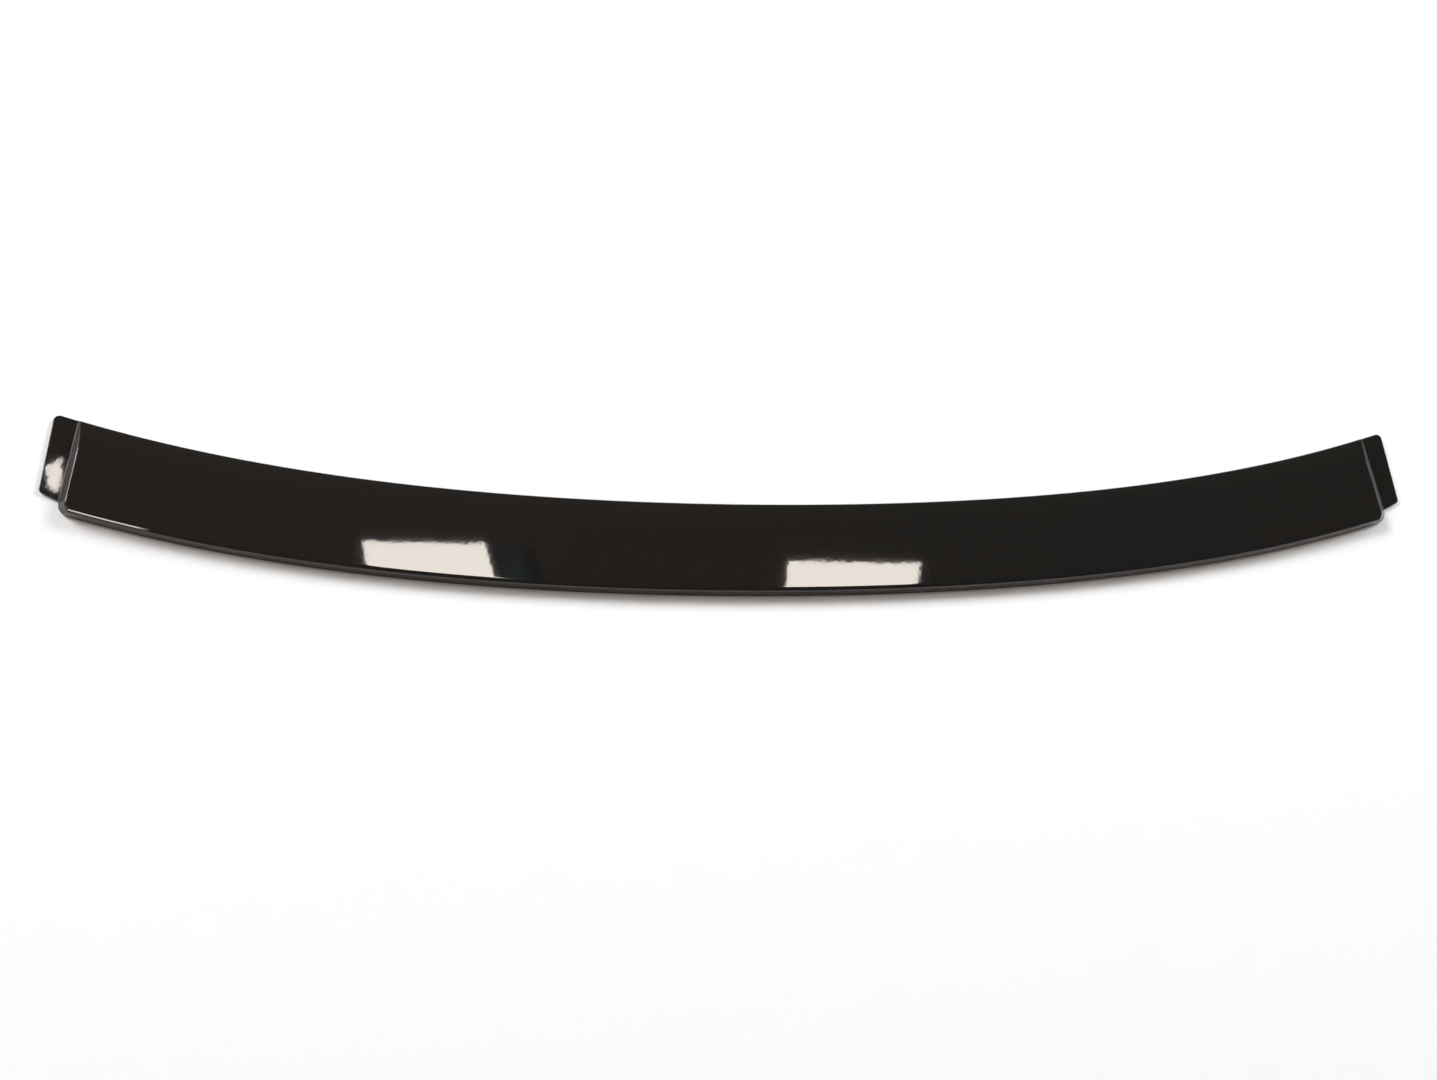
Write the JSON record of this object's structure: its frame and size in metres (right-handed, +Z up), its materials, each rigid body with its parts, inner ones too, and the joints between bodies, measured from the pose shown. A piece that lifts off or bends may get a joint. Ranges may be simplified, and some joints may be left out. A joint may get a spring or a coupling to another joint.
{
  "type": "tailgate spoiler",
  "caption": "Long bowed tailgate spoiler formed from one sheet, with a rounded leading edge, a turned-down trailing lip, sloped ends and flat end tabs for bonding.",
  "frame": {"origin": "middle of the spoiler's box, on the plane of its trimmed rim", "axes": "+X across the vehicle along the span, +Y forward to the leading edge, +Z up out of the surface it is bonded to"},
  "size_m": [1.2796, 0.1665, 0.0121],
  "materials": {
    "gloss_black": "gloss"
  },
  "bodies": {
    "root": {"spoiler_shell": "gloss_black"}
  },
  "joints": []
}
